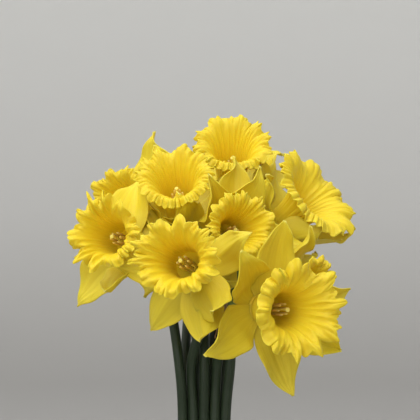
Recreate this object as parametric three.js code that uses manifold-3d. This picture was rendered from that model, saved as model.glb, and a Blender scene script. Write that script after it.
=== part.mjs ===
// A pot of trumpet daffodils: nine yellow blooms on a close bunch of green stems, with strap leaves,
// soil and a clay pot. Millimetres and degrees, +Z up. The origin is the middle of the pot's
// underside, and the blooms look mostly towards -Y.
import * as THREE from "three";
import { mergeVertices } from "three/addons/utils/BufferGeometryUtils.js";
import Module from "manifold-3d";

const wasm = await Module();
wasm.setup();

// Clearance between pieces that touch.
const GAP = 0.3;

// The clay pot, a turned body with a straight rim band, and the soil that fills it.
const POT = {
  height: 130,
  footRadius: 49,
  shoulderRadius: 65,
  rimRadius: 73,
  rimBand: 27,
  wall: 6,
  floor: 8,
  sides: 32,
};
const DRAIN = { radius: 5, circle: 26, count: 3 };
const SOIL = { top: 116, mound: 2.5, bump: 1.4, rings: 4, sides: 20, holeDepth: 34 };

// One bloom at full size. The tepals spring from a hub on the floral tube, and the trumpet stands on it.
const BLOOM = {
  tepalLength: 46,
  tepalHalfWidth: 13.2,
  tepalSheet: 0.7,
  tepalRoot: 4.5,
  whorlStep: 0.7,
  hubRadius: 9.6,
  hubHeight: 2.2,
  tubeLength: 20,
  tubeEndRadius: 4,
  trumpetLength: 38,
  throatRadius: 8.2,
  flare: 3.2,
  trumpetSheet: 0.9,
  frill: 4,
  lobes: 10,
};
const STAMEN = { count: 6, circle: 2.6, length: 23, styleLength: 29 };

// The green stalk: round stem, thin bent neck and swollen ovary.
const STEM = { radius: 2.85, sides: 6 };
const OVARY_LENGTH = 14;
// The stalk's radius at distances back from the bloom: ovary, neck and stem.
const STALK_PROFILE = [
  [0, 4],
  [5, 4.6],
  [10, 4.1],
  [14, 2.5],
  [18, 2.1],
  [25, 2.2],
  [33, 2.5],
  [44, STEM.radius],
  [58, STEM.radius],
  [75, STEM.radius],
  [110, STEM.radius],
  [170, STEM.radius],
];
const SPATHE = { radius: 3.4, sheet: 0.6, start: 17, reach: 24, arc: 170 };

// The bunch of stems: a front row of five and a back row of four, close together at the waist.
const BUNCH = {
  waist: 300,
  waistMiddle: 1.7,
  waistPitch: 6.1,
  waistHalfGap: 2.9,
  soilPitch: 9.2,
  soilHalfGap: 4.8,
};

// Strap leaves round the bunch.
const LEAF = { count: 12, halfWidth: 6.4, sheet: 1.4, circle: 37, channel: 0.22, rows: 8 };

// Each bloom: where its tepals spring from, where it looks (yaw to the right and pitch up from -Y),
// the clock angle of its first tepal, its trumpet's mouth radius and how oval that is, its size, its
// stem's place in the bunch, and how far each tepal turns from even spacing and leans forward (degrees).
const FLOWERS = [
  {
    at: [32.8, -70, 367.8], yaw: 27, pitch: 1, roll: 3, column: 1, row: 0,
    size: 1, mouth: 24, oval: 1,
    turn: [2, 17, -5, -24, -2, 15], lean: [26, 15, 10, -4, 24, 49],
  },
  {
    at: [-3.7, -74, 389.3], yaw: -14, pitch: 10, roll: 5, column: -1, row: 0,
    size: 0.98, mouth: 22.5, oval: 0.87,
    turn: [-25, 4, 18, -21, -23, -15], lean: [-60, 52, 55, 32, -34, -8],
  },
  {
    at: [-37.2, -30.6, 401], yaw: -24, pitch: 10, roll: 345, column: -2, row: 0,
    size: 0.97, mouth: 19.5, oval: 1,
    turn: [4, 0, 0, 11, 0, -5], lean: [-33, -40, 0, 56, -4, -45],
  },
  {
    at: [-10.7, -9, 415], yaw: -8, pitch: 40, roll: 336, column: -0.5, row: 1,
    size: 0.95, mouth: 20.5, oval: 1,
    turn: [0, 0, 0, 0, 0, 0], lean: [30, 0, 0, 0, 0, 0],
  },
  {
    at: [17.3, 30, 430.8], yaw: 2, pitch: 45, roll: 320, column: 0.5, row: 1,
    size: 0.98, mouth: 21.5, oval: 1,
    turn: [0, 20, -14, 0, 0, 0], lean: [-10, 2, -6, -30, -30, -10],
  },
  {
    at: [38.6, 4, 406], yaw: 58, pitch: 36, roll: 25, column: 1.5, row: 1,
    size: 1, mouth: 28, oval: 1,
    turn: [4, 0, -7, 11, 35, 37], lean: [30, -20, 52, 64, 62, 40],
  },
  {
    at: [12.2, -27, 404], yaw: 16, pitch: 12, roll: 5, column: 0, row: 0,
    size: 0.92, mouth: 18, oval: 1,
    turn: [4, -36, -25, 8, 0, 22], lean: [22, 42, 20, -10, -10, 58],
  },
  {
    at: [43, -30, 382], yaw: 45, pitch: -5, roll: 10, column: 2, row: 0,
    size: 0.72, mouth: 15, oval: 1,
    turn: [0, 0, 0, 0, 0, 0], lean: [0, 0, 0, 0, 0, 0],
  },
  {
    at: [-28, 42, 416.5], yaw: -32, pitch: 15, roll: 354, column: -1.5, row: 1,
    size: 1, mouth: 18, oval: 1,
    turn: [7, 0, 0, 0, 0, 0], lean: [26, 0, 0, 0, 0, 0],
  },
];
// The front blooms keep their natural form, so they are settled before those behind them.
const SETTLING_ORDER = [0, 1, 5, 6, 2, 3, 4, 8, 7];

const rad = THREE.MathUtils.degToRad;
const smooth = THREE.MathUtils.smoothstep;
const vec = (x, y, z) => new THREE.Vector3(x, y, z);

// A closed mesh as a solid, and a solid as a mesh geometry.
function toSolid(geometry) {
  const bare = new THREE.BufferGeometry();
  bare.setAttribute("position", geometry.getAttribute("position"));
  bare.setIndex(geometry.getIndex());
  const merged = mergeVertices(bare, 1e-4);
  return new wasm.Manifold(
    new wasm.Mesh({
      numProp: 3,
      vertProperties: merged.attributes.position.array,
      triVerts: new Uint32Array(merged.index.array),
    }),
  );
}

function toGeometry(solid) {
  const mesh = solid.getMesh();
  const geometry = new THREE.BufferGeometry();
  geometry.setAttribute("position", new THREE.BufferAttribute(mesh.vertProperties, 3));
  geometry.setIndex(new THREE.BufferAttribute(mesh.triVerts, 1));
  geometry.computeVertexNormals();
  return geometry;
}

// The largest body of a solid, without loose scraps or the sealed pockets that joining can leave.
function wholeBody(solid) {
  return solid.decompose().reduce((most, body) => (body.volume() > most.volume() ? body : most));
}

function indexedGeometry(points, triangles) {
  const geometry = new THREE.BufferGeometry().setFromPoints(points);
  geometry.setIndex(triangles);
  geometry.computeVertexNormals();
  return geometry;
}

// A thin closed sheet about a mid surface at(i, j), with rows i and columns j, that may close round on
// itself in j. Both faces are split along the same diagonals, so a waved sheet can't cross itself.
function closedSheet({ rows, columns, around, at, thickness }) {
  const across = around ? columns : columns + 1;
  const mid = [];
  for (let i = 0; i <= rows; i++) for (let j = 0; j < across; j++) mid.push(at(i, j));
  const wrap = (j) => (around ? (j + columns) % columns : Math.min(Math.max(j, 0), columns));
  const id = (i, j) => Math.min(Math.max(i, 0), rows) * across + wrap(j);
  const points = [];
  for (const side of [0.5, -0.5])
    for (let i = 0; i <= rows; i++)
      for (let j = 0; j < across; j++) {
        const acrossStep = mid[id(i, j + 1)].clone().sub(mid[id(i, j - 1)]);
        const alongStep = mid[id(i + 1, j)].clone().sub(mid[id(i - 1, j)]);
        const normal = acrossStep.cross(alongStep).normalize();
        points.push(mid[id(i, j)].clone().addScaledVector(normal, side * thickness));
      }
  const under = mid.length;
  const triangles = [];
  for (let i = 0; i < rows; i++)
    for (let j = 0; j < columns; j++) {
      const [a, b, c, d] = [id(i, j), id(i, j + 1), id(i + 1, j + 1), id(i + 1, j)];
      triangles.push(a, b, c, a, c, d);
      triangles.push(a + under, c + under, b + under, a + under, d + under, c + under);
    }
  const edge = (a, b) => triangles.push(a, a + under, b + under, a, b + under, b);
  for (let j = 0; j < columns; j++) {
    edge(id(0, j), id(0, j + 1));
    edge(id(rows, j + 1), id(rows, j));
  }
  if (!around)
    for (let i = 0; i < rows; i++) {
      edge(id(i + 1, 0), id(i, 0));
      edge(id(i, columns), id(i + 1, columns));
    }
  return indexedGeometry(points, triangles);
}

// A round rod along a curve. Each station gives how far along it lies, from 0 to 1, and its radius.
function rod(curve, stations, sides) {
  const points = [];
  const normal = vec(1, 0, 0);
  for (const [share, radius] of stations) {
    const tangent = curve.getTangentAt(share);
    normal.addScaledVector(tangent, -normal.dot(tangent)).normalize();
    const binormal = tangent.clone().cross(normal);
    for (let j = 0; j < sides; j++) {
      const angle = (2 * Math.PI * j) / sides;
      const point = curve.getPointAt(share).addScaledVector(normal, radius * Math.cos(angle));
      points.push(point.addScaledVector(binormal, radius * Math.sin(angle)));
    }
  }
  const first = points.push(curve.getPointAt(stations[0][0])) - 1;
  const last = points.push(curve.getPointAt(stations.at(-1)[0])) - 1;
  const end = (stations.length - 1) * sides;
  const triangles = [];
  for (let j = 0; j < sides; j++) {
    const next = (j + 1) % sides;
    for (let a = j, b = next; a < end; a += sides, b += sides) {
      triangles.push(a, b, b + sides, a, b + sides, a + sides);
    }
    triangles.push(first, next, j, last, end + j, end + next);
  }
  return indexedGeometry(points, triangles);
}

// A turned solid about +Z from a profile of [radius, height] pairs, listed upwards along the outside.
function turned(profile, sides) {
  const points = profile.map(([radius, height]) => new THREE.Vector2(radius, height));
  return new THREE.LatheGeometry(points, sides).rotateX(Math.PI / 2);
}

// The frame of a bloom: its middle, the way it looks, and right and up as seen from in front.
function frameOf(flower) {
  const [yaw, pitch] = [rad(flower.yaw), rad(flower.pitch)];
  const axis = vec(Math.sin(yaw) * Math.cos(pitch), -Math.cos(yaw) * Math.cos(pitch), Math.sin(pitch));
  const right = vec(Math.cos(yaw), Math.sin(yaw), 0);
  return { middle: vec(...flower.at), axis, right, up: axis.clone().cross(right) };
}

// A point of a bloom, given right, up and forward from its middle, all at the bloom's size.
function inBloom(flower, x, y, forward) {
  const { middle, axis, right, up } = frameOf(flower);
  return middle
    .clone()
    .addScaledVector(right, x * flower.size)
    .addScaledVector(up, y * flower.size)
    .addScaledVector(axis, forward * flower.size);
}

// Turns a solid made about +Z so that it stands on a bloom's middle and looks along its axis.
function ontoBloom(flower, geometry) {
  const { middle, axis, right, up } = frameOf(flower);
  const s = flower.size;
  const matrix = new THREE.Matrix4().makeBasis(right, up, axis).scale(vec(s, s, s)).setPosition(middle);
  return geometry.applyMatrix4(matrix);
}

// A tepal's half width along its length: broad below the middle, with a pointed tip.
function tepalHalfWidth(s) {
  const widest = 0.42;
  if (s < widest) return BLOOM.tepalHalfWidth * (0.36 + 0.64 * Math.sin((Math.PI / 2) * (s / widest)));
  return Math.max(BLOOM.tepalHalfWidth * (1 - ((s - widest) / (1 - widest)) ** 1.8), 0.5);
}

// A point of tepal k of a bloom, s from root to tip and t from its left edge to its right. The tepal
// leaves the hub level, bends to its lean, and bends on by its curl towards the tip. Reach shortens it.
function tepalPoint(flower, k, pose, s, t) {
  const clock = rad(flower.roll + 60 * k + flower.turn[k] + pose.turn);
  const leanAt = (u) => rad((flower.lean[k] + pose.lean + pose.curl * u) * smooth(u, 0.03, 0.3));
  const steps = 12;
  let out = BLOOM.tepalRoot;
  let forward = k % 2 ? -BLOOM.whorlStep : BLOOM.whorlStep;
  for (let n = 0; n < steps; n++) {
    const lean = leanAt(((n + 0.5) / steps) * s);
    out += (Math.cos(lean) * BLOOM.tepalLength * pose.reach * s) / steps;
    forward += (Math.sin(lean) * BLOOM.tepalLength * pose.reach * s) / steps;
  }
  const side = t * tepalHalfWidth(s);
  const cup = 0.16 * t * t * tepalHalfWidth(s) * smooth(s, 0.1, 0.5);
  const lean = leanAt(s);
  out -= cup * Math.sin(lean);
  forward += cup * Math.cos(lean);
  return inBloom(
    flower,
    out * Math.sin(clock) + side * Math.cos(clock),
    out * Math.cos(clock) - side * Math.sin(clock),
    forward,
  );
}

function tepal(flower, k, pose, margin = 0) {
  const levels = [0, 0.15, 0.4, 0.7, 1];
  return toSolid(
    closedSheet({
      rows: levels.length - 1,
      columns: 2,
      around: false,
      at: (i, j) => tepalPoint(flower, k, pose, levels[i], j - 1),
      thickness: BLOOM.tepalSheet + 2 * margin,
    }),
  );
}

// The trumpet's wall at t from foot to rim: a narrow throat that flares at the mouth, with lobes that
// fold in and out more and more towards the rim. Each bloom's lobes are spaced a little differently.
function trumpetPoint(flower, t, turnShare) {
  const seed = flower.at[0];
  const angle = 2 * Math.PI * turnShare;
  const mouth = flower.mouth / flower.size;
  const radius = BLOOM.throatRadius + 1.6 * t + (mouth - BLOOM.throatRadius - 1.6) * t ** BLOOM.flare;
  const forward = BLOOM.hubHeight + GAP + BLOOM.trumpetLength * (1 - (1 - t) ** 1.5);
  const phase = BLOOM.lobes * angle + 0.9 * Math.sin(2 * angle + seed) + 0.7 * Math.sin(3 * angle + 2 * seed);
  const fold = BLOOM.frill * smooth(t, 0.35, 1) * (1 + 0.3 * Math.sin(2 * angle + seed));
  const wave = Math.sin(phase);
  const r = radius + fold * 0.45 * wave;
  const squash = THREE.MathUtils.lerp(1, flower.oval, t);
  const h = forward + fold * 0.8 * wave * smooth(t, 0.6, 1);
  return inBloom(flower, r * Math.sin(angle), squash * r * Math.cos(angle), h);
}

function trumpet(flower) {
  const levels = [0, 0.42, 0.76, 1];
  const columns = 30;
  return toSolid(
    closedSheet({
      rows: levels.length - 1,
      columns,
      around: true,
      at: (i, j) => trumpetPoint(flower, levels[i], j / columns),
      thickness: BLOOM.trumpetSheet,
    }),
  );
}

// The hub, the floral tube behind it, and the stamens and style that stand in the throat.
function bloomCore(flower) {
  const hub = turned(
    [
      [0, -BLOOM.tubeLength],
      [BLOOM.tubeEndRadius, -BLOOM.tubeLength],
      [5.2, -8],
      [BLOOM.hubRadius, -1.8],
      [BLOOM.hubRadius, BLOOM.hubHeight],
      [0, BLOOM.hubHeight],
    ],
    8,
  );
  let core = toSolid(ontoBloom(flower, hub));
  for (let n = 0; n <= STAMEN.count; n++) {
    const isStyle = n === STAMEN.count;
    const length = isStyle ? STAMEN.styleLength : STAMEN.length;
    const spindle = turned([[0, 0], [0.7, 0], [1.3, length - 3], [0, length]], 3);
    if (!isStyle) {
      const angle = rad(60 * n + 20);
      spindle.translate(STAMEN.circle * Math.sin(angle), STAMEN.circle * Math.cos(angle), 0);
    }
    core = core.add(toSolid(ontoBloom(flower, spindle)));
  }
  return core;
}

// The stalk's place in the soil, and its line up through the bunch and round the neck to the bloom.
function stalkFoot(flower) {
  const side = flower.row ? 1 : -1;
  return vec(flower.column * BUNCH.soilPitch, side * BUNCH.soilHalfGap, SOIL.top - SOIL.holeDepth + GAP);
}

function stalkCurve(flower) {
  const side = flower.row ? 1 : -1;
  const foot = stalkFoot(flower);
  const waistX = BUNCH.waistMiddle + flower.column * BUNCH.waistPitch;
  const waist = vec(waistX, side * BUNCH.waistHalfGap, BUNCH.waist);
  const end = inBloom(flower, 0, 0, -BLOOM.tubeLength).addScaledVector(frameOf(flower).axis, -GAP);
  const { axis } = frameOf(flower);
  const ovaryFoot = end.clone().addScaledVector(axis, -OVARY_LENGTH);
  const crook = ovaryFoot.clone().addScaledVector(axis, -7).add(vec(0, 0, -10));
  return new THREE.CatmullRomCurve3(
    [
      foot,
      foot.clone().setZ(SOIL.top + 8),
      foot.clone().setZ(SOIL.top + 24),
      waist,
      vec(waist.x * 1.2, waist.y * 2.1, BUNCH.waist + 34),
      crook,
      ovaryFoot,
      end,
    ],
    false,
    "centripetal",
  );
}

function stalk(flower) {
  const curve = stalkCurve(flower);
  const length = curve.getLength();
  const stations = STALK_PROFILE.map(([back, radius]) => [1 - back / length, radius]);
  const inSoil = [[(SOIL.holeDepth + 6) / length, STEM.radius], [0, STEM.radius]];
  return toSolid(rod(curve, [...stations, ...inSoil].reverse(), STEM.sides));
}

// The papery sheath that wraps the back of the neck, open towards the bloom.
function spathe(flower) {
  const curve = stalkCurve(flower);
  const length = curve.getLength();
  const [rows, columns] = [3, 4];
  const { axis } = frameOf(flower);
  const sheet = closedSheet({
    rows,
    columns,
    around: false,
    at: (i, j) => {
      const left = SPATHE.start + SPATHE.reach * (1 - i / rows);
      const u = 1 - left / length;
      const tangent = curve.getTangentAt(u);
      const back = vec(0, 0, 1).addScaledVector(axis, -0.6);
      back.addScaledVector(tangent, -back.dot(tangent)).normalize();
      const sideways = tangent.clone().cross(back);
      const angle = rad((j / columns - 0.5) * SPATHE.arc * (1 - 0.35 * (i / rows)));
      const radius = SPATHE.radius + GAP + SPATHE.sheet / 2 + 1.2 * (i / rows) ** 2;
      return curve
        .getPointAt(u)
        .addScaledVector(back, radius * Math.cos(angle))
        .addScaledVector(sideways, radius * Math.sin(angle));
    },
    thickness: SPATHE.sheet,
  });
  return toSolid(sheet);
}

// A strap leaf: it leaves the soil upright and arches over outwards, channelled along its middle.
// A margin makes it fatter all round, for the hole that it stands in.
function leaf(n, margin = 0) {
  const columns = 2;
  const bearing = 2 * Math.PI * ((n + 0.5) / LEAF.count) + 0.12 * Math.sin(5 * n);
  const length = 190 + 26 * Math.sin(2.4 * n) + SOIL.holeDepth;
  const startLean = 3 + 3 * Math.sin(1.7 * n);
  const endLean = 88 + 20 * Math.sin(3.1 * n);
  const outward = vec(Math.cos(bearing), Math.sin(bearing), 0);
  const across = vec(-outward.y, outward.x, 0);
  const root = outward.clone().multiply(vec(LEAF.circle, LEAF.circle * 0.8, 0));
  root.z = SOIL.top - SOIL.holeDepth + GAP;
  const twist = 0.5 * Math.sin(1.3 * n);
  const at = (i, j) => {
    const point = root.clone();
    if (i === 0) point.z -= margin;
    const steps = 24;
    const share = i / LEAF.rows;
    let lean = rad(startLean);
    for (let m = 0; m < steps; m++) {
      const s = ((m + 0.5) / steps) * share;
      lean = rad(startLean + (endLean - startLean) * smooth(s, 0.12, 1.1) ** 1.25);
      const step = (length * share) / steps;
      point.addScaledVector(outward, Math.sin(lean) * step);
      point.z += Math.cos(lean) * step;
    }
    const tip = Math.sqrt(Math.max(1 - Math.max((share - 0.72) / 0.28, 0) ** 2, 0.012));
    const halfWidth = LEAF.halfWidth * tip * (0.8 + 0.2 * Math.sin(Math.PI * share)) + margin;
    const face = outward.clone().multiplyScalar(-Math.cos(lean)).add(vec(0, 0, Math.sin(lean)));
    const roll = twist * smooth(share, 0.25, 1);
    const t = j - 1;
    const side = across.clone().multiplyScalar(Math.cos(roll)).addScaledVector(face, Math.sin(roll));
    const rise = face.clone().multiplyScalar(Math.cos(roll)).addScaledVector(across, -Math.sin(roll));
    return point.addScaledVector(side, t * halfWidth).addScaledVector(rise, LEAF.channel * halfWidth * t * t);
  };
  const sheet = { rows: LEAF.rows, columns, around: false, at, thickness: LEAF.sheet + 2 * margin };
  return toSolid(closedSheet(sheet));
}

// The radius of the pot's inner wall at a height below the rim band.
const BAND = POT.height - POT.rimBand;
const innerWall = (z) => THREE.MathUtils.lerp(POT.footRadius, POT.shoulderRadius, z / BAND) - POT.wall;

function pot() {
  const body = turned(
    [
      [0, 0],
      [POT.footRadius - 1.5, 0],
      [POT.footRadius, 2],
      [POT.shoulderRadius, BAND],
      [POT.rimRadius - 3, BAND],
      [POT.rimRadius - 1.5, BAND + 2],
      [POT.rimRadius, POT.height - 2],
      [POT.rimRadius - 1.5, POT.height],
      [POT.rimRadius - POT.wall, POT.height],
      [innerWall(BAND) + 1.5, BAND],
      [innerWall(POT.floor), POT.floor],
      [0, POT.floor],
    ],
    POT.sides,
  );
  let solid = toSolid(body);
  for (let n = 0; n < DRAIN.count; n++) {
    const angle = (2 * Math.PI * n) / DRAIN.count;
    const drill = new THREE.CylinderGeometry(DRAIN.radius, DRAIN.radius, 3 * POT.floor, 12);
    drill.rotateX(Math.PI / 2);
    drill.translate(DRAIN.circle * Math.cos(angle), DRAIN.circle * Math.sin(angle), 0);
    solid = solid.subtract(toSolid(drill));
  }
  return solid;
}

// The soil, a plug with a crumbled top, with a plain hole for each stem and leaf.
function soil(plants) {
  const wallAt = (z) => innerWall(z) - GAP - 0.2;
  const profile = [
    [0, POT.floor + GAP],
    [wallAt(POT.floor) - 0.2, POT.floor + GAP],
    [wallAt(BAND), BAND],
    [wallAt(BAND) + 1.2, SOIL.top - 1.5],
  ];
  const outer = wallAt(BAND) - 2;
  for (let n = SOIL.rings; n >= 0; n--) profile.push([(outer * n) / SOIL.rings, SOIL.top]);
  const geometry = turned(profile, SOIL.sides);
  const place = geometry.getAttribute("position");
  for (let n = 0; n < place.count; n++) {
    if (place.getZ(n) < SOIL.top - 0.5) continue;
    const [x, y] = [place.getX(n), place.getY(n)];
    const mound = SOIL.mound * Math.cos((Math.PI / 2) * Math.min(Math.hypot(x, y) / outer, 1));
    place.setZ(n, SOIL.top + mound + SOIL.bump * Math.sin(0.31 * x + 1) * Math.sin(0.27 * y + 2));
  }
  let solid = toSolid(geometry);
  for (const drill of plants) solid = solid.subtract(drill);
  return solid;
}

// The plain round hole that a stem stands in.
function stemHole(flower) {
  const foot = stalkFoot(flower);
  const radius = STEM.radius + 0.6;
  const drill = new THREE.CylinderGeometry(radius, radius, 2 * SOIL.holeDepth, STEM.sides + 2);
  drill.rotateX(Math.PI / 2);
  drill.translate(foot.x, foot.y, SOIL.top);
  return toSolid(drill);
}

// How much two solids share, in cubic millimetres.
function shared(a, b) {
  const [p, q] = [a.boundingBox(), b.boundingBox()];
  for (let n = 0; n < 3; n++) if (p.max[n] < q.min[n] || q.max[n] < p.min[n]) return 0;
  return a.intersect(b).volume();
}

// The bends that a tepal may take to get clear of its neighbours, with the smallest first.
function bends() {
  const found = [];
  for (const reach of [1, 0.85, 0.7, 0.55])
    for (let lean = -80; lean <= 80; lean += 10)
      for (let curl = -48; curl <= 48; curl += 16)
        for (let turn = -16; turn <= 16; turn += 8) found.push({ lean, curl, turn, reach });
  const cost = ({ lean, curl, turn, reach }) =>
    Math.abs(lean + curl / 2) + 0.4 * Math.abs(curl) + 1.2 * Math.abs(turn) + 160 * (1 - reach);
  return found.sort((a, b) => cost(a) - cost(b));
}

// Settles the tepals one by one: each takes the smallest bend that clears what is already there.
function settle(stalks, spathes, trumpets, cores) {
  const choices = bends();
  const placed = FLOWERS.map(() => []);
  for (const n of SETTLING_ORDER)
    for (let k = 0; k < 6; k++) {
      const others = FLOWERS.flatMap((_, m) =>
        m === n ? [trumpets[m]] : [stalks[m], spathes[m], trumpets[m], cores[m], ...placed[m]],
      );
      others.push(stalks[n], spathes[n]);
      let best = null;
      for (const pose of choices) {
        const wide = tepal(FLOWERS[n], k, pose, 0.4);
        let overlap = 0;
        for (const other of others) {
          overlap += shared(wide, other);
          if (best && overlap >= best.overlap) break;
        }
        if (!best || overlap < best.overlap) best = { pose, overlap };
        if (overlap < 1e-6) break;
      }
      placed[n][k] = tepal(FLOWERS[n], k, best.pose);
    }
  return placed;
}

const daffodils = new THREE.Group();

function addPiece(name, solid, material) {
  const mesh = new THREE.Mesh(toGeometry(solid), material);
  mesh.name = name;
  daffodils.add(mesh);
}

const finish = (color, roughness) => new THREE.MeshStandardMaterial({ color, roughness, metalness: 0 });
const clay = finish("#b4683f", 0.9);
const earth = finish("#3a2a1e", 1);
const green = finish("#3c5234", 0.6);
const paper = finish("#a98558", 0.85);
const lemon = finish("#ecd23c", 0.6);
const gold = finish("#f2c61e", 0.55);
const leafGreen = finish("#4d6b4a", 0.6);

const stalks = FLOWERS.map(stalk);
const spathes = FLOWERS.map(spathe);
const trumpets = FLOWERS.map(trumpet);
const cores = FLOWERS.map(bloomCore);
const leaves = Array.from({ length: LEAF.count }, (_, n) => leaf(n));
const settled = settle(stalks, spathes, trumpets, cores);

addPiece("pot", pot(), clay);
addPiece("soil", soil([...FLOWERS.map(stemHole), ...leaves.map((_, n) => leaf(n, 0.5))]), earth);
FLOWERS.forEach((flower, n) => {
  addPiece(`stem_${n + 1}`, stalks[n], green);
  addPiece(`spathe_${n + 1}`, spathes[n], paper);
  const perianth = settled[n].reduce((sum, part) => sum.add(part), cores[n]);
  addPiece(`perianth_${n + 1}`, wholeBody(perianth), lemon);
  addPiece(`trumpet_${n + 1}`, trumpets[n], gold);
});
leaves.forEach((solid, n) => addPiece(`leaf_${n + 1}`, solid, leafGreen));

export default daffodils;
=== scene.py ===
# %% [markdown]
# # A pot of trumpet daffodils
# Nine yellow blooms stand on a close bunch of green stems in a clay flowerpot. The imported model gives
# the frame: where each bloom, stem, leaf and the pot is. This lesson replaces its faceted solids with
# fine ones that keep their form, and gives each its finish. First the frame is loaded.

# %% Load the frame
import math
import bpy
import numpy as np
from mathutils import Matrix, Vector
from mathutils import noise


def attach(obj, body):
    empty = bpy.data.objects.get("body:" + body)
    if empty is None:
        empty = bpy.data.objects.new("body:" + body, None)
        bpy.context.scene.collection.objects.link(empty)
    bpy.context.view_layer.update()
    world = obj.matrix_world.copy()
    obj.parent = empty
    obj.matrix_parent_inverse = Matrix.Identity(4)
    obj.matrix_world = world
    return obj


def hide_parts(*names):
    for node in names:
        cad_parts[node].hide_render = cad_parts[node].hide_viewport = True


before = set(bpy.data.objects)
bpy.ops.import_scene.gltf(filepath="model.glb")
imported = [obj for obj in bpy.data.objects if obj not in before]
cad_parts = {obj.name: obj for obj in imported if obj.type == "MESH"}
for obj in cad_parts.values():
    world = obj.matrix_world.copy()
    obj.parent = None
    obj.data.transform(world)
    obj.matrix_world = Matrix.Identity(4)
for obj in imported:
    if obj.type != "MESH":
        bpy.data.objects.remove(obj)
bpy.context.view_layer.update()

MM = 0.001
bpy.ops.object.select_all(action="DESELECT")
print("frame nodes", len(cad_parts))

# %% [markdown]
# ## The camera
# The photograph was taken level with the blooms with a long lens, which keeps near and far blooms about
# the same size. A camera 1 m away with a 150 mm lens sees 240 mm of the bunch, so 420 pixels are 240 mm.

# %% Camera
CAMERA_PLACE = (5.1, -1000, 420)
CAMERA_LENS = 150
CAMERA_FILM = 36
camera_data = bpy.data.cameras.new("camera")
camera_data.lens = CAMERA_LENS
camera_data.sensor_width = CAMERA_FILM
camera_data.clip_end = 30
camera = bpy.data.objects.new("camera", camera_data)
camera.location = Vector(CAMERA_PLACE) * MM
camera.rotation_euler = (math.radians(90), 0, 0)
bpy.context.collection.objects.link(camera)
bpy.context.scene.camera = camera
bpy.context.scene.view_settings.view_transform = "Standard"
print("the camera sees", CAMERA_FILM / CAMERA_LENS * -CAMERA_PLACE[1], "mm at the bunch")

# %% [markdown]
# ## A wide bowl for a backdrop
# A plain pale floor that turns up into a wall has no line behind the flowers. It is one profile spun
# round the pot, so the backdrop looks the same from every side, and it is wide enough that a camera
# that goes round the plant stays inside it.

# %% Backdrop
FLOOR_RADIUS = 3.2
WALL_RADIUS = 4.4
WALL_HEIGHT = 4.0
BEND_STEPS = 12
BACKDROP_STEPS = 96
MERGE_DISTANCE = 1e-6


def bowl_profile():
    """The floor, its round bend and the wall, as (radius, height) points in metres."""
    points = [(0.0, 0.0), (FLOOR_RADIUS, 0.0)]
    bend = WALL_RADIUS - FLOOR_RADIUS
    for step in range(1, BEND_STEPS + 1):
        angle = math.pi / 2 * step / BEND_STEPS
        points.append((FLOOR_RADIUS + bend * math.sin(angle), bend * (1 - math.cos(angle))))
    return [*points, (WALL_RADIUS, WALL_HEIGHT)]


def pick(*pieces):
    """Selects only these pieces and makes the first one active."""
    bpy.ops.object.select_all(action="DESELECT")
    for piece in pieces:
        piece.select_set(True)
    bpy.context.view_layer.objects.active = pieces[0]


def spun(name, profile, steps):
    """A profile of (radius, height) points, in metres, spun once round +Z."""
    mesh = bpy.data.meshes.new(name)
    edges = [(n, n + 1) for n in range(len(profile) - 1)]
    mesh.from_pydata([(radius, 0, height) for radius, height in profile], edges, [])
    piece = bpy.data.objects.new(name, mesh)
    bpy.context.collection.objects.link(piece)
    pick(piece)
    bpy.ops.object.mode_set(mode="EDIT")
    bpy.ops.mesh.select_all(action="SELECT")
    bpy.ops.mesh.spin(steps=steps, angle=2 * math.pi, center=(0, 0, 0), axis=(0, 0, 1))
    bpy.ops.mesh.select_all(action="SELECT")
    bpy.ops.mesh.remove_doubles(threshold=MERGE_DISTANCE)
    bpy.ops.mesh.normals_make_consistent(inside=False)
    bpy.ops.object.mode_set(mode="OBJECT")
    bpy.ops.object.shade_smooth()
    return piece


backdrop = spun("backdrop", bowl_profile(), BACKDROP_STEPS)
print("backdrop points", len(backdrop.data.vertices))

# %% [markdown]
# ## Soft studio light
# The light in the photograph is soft and comes mostly from above, a little from the left and the front:
# the frills glow and the stems under them are dark. One large lamp overhead does that, a wider one far
# in front opens the shadows, and a pale world fills the rest. Lamps are hidden from the camera.

# %% Lights


def soft_lamp(name, place, aim, width, power):
    """A square lamp, its width in metres and its power in watts, that shines at aim."""
    data = bpy.data.lights.new(name, "AREA")
    data.shape = "SQUARE"
    data.size = width
    data.energy = power
    lamp = bpy.data.objects.new(name, data)
    lamp.location = place
    lamp.rotation_euler = (Vector(aim) - Vector(place)).to_track_quat("-Z", "Y").to_euler()
    lamp.visible_camera = False
    bpy.context.collection.objects.link(lamp)


BUNCH_MIDDLE = (0, 0, 0.4)
SKY_COLOUR = (0.95, 0.97, 1.0, 1)
SKY_STRENGTH = 0.95
soft_lamp("overhead", (-0.5, -0.6, 1.9), BUNCH_MIDDLE, 1.5, 20)
soft_lamp("front fill", (-0.6, -2.4, 1.2), BUNCH_MIDDLE, 1.8, 30)
world = bpy.data.worlds.new("studio")
bpy.context.scene.world = world
world.use_nodes = True
sky = world.node_tree.nodes["Background"]
sky.inputs["Color"].default_value = SKY_COLOUR
sky.inputs["Strength"].default_value = SKY_STRENGTH

# %% [markdown]
# ## Colours and nodes
# A colour is written as the sRGB hex value that a screen shows, and one function turns it to the linear
# value that a shader works in. Another adds one node with its settings and with what feeds it, so that a
# material reads from top to bottom as a short recipe. What feeds an input may be another node, one of
# its sockets, a colour or a number.

# %% Node helpers
RAMP = "ShaderNodeValToRGB"
MIX = "ShaderNodeMix"
MATHS = "ShaderNodeMath"
NOISE = "ShaderNodeTexNoise"
COLOURS = {"data_type": "RGBA"}
MULTIPLIED = {"data_type": "RGBA", "blend_type": "MULTIPLY"}


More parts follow.
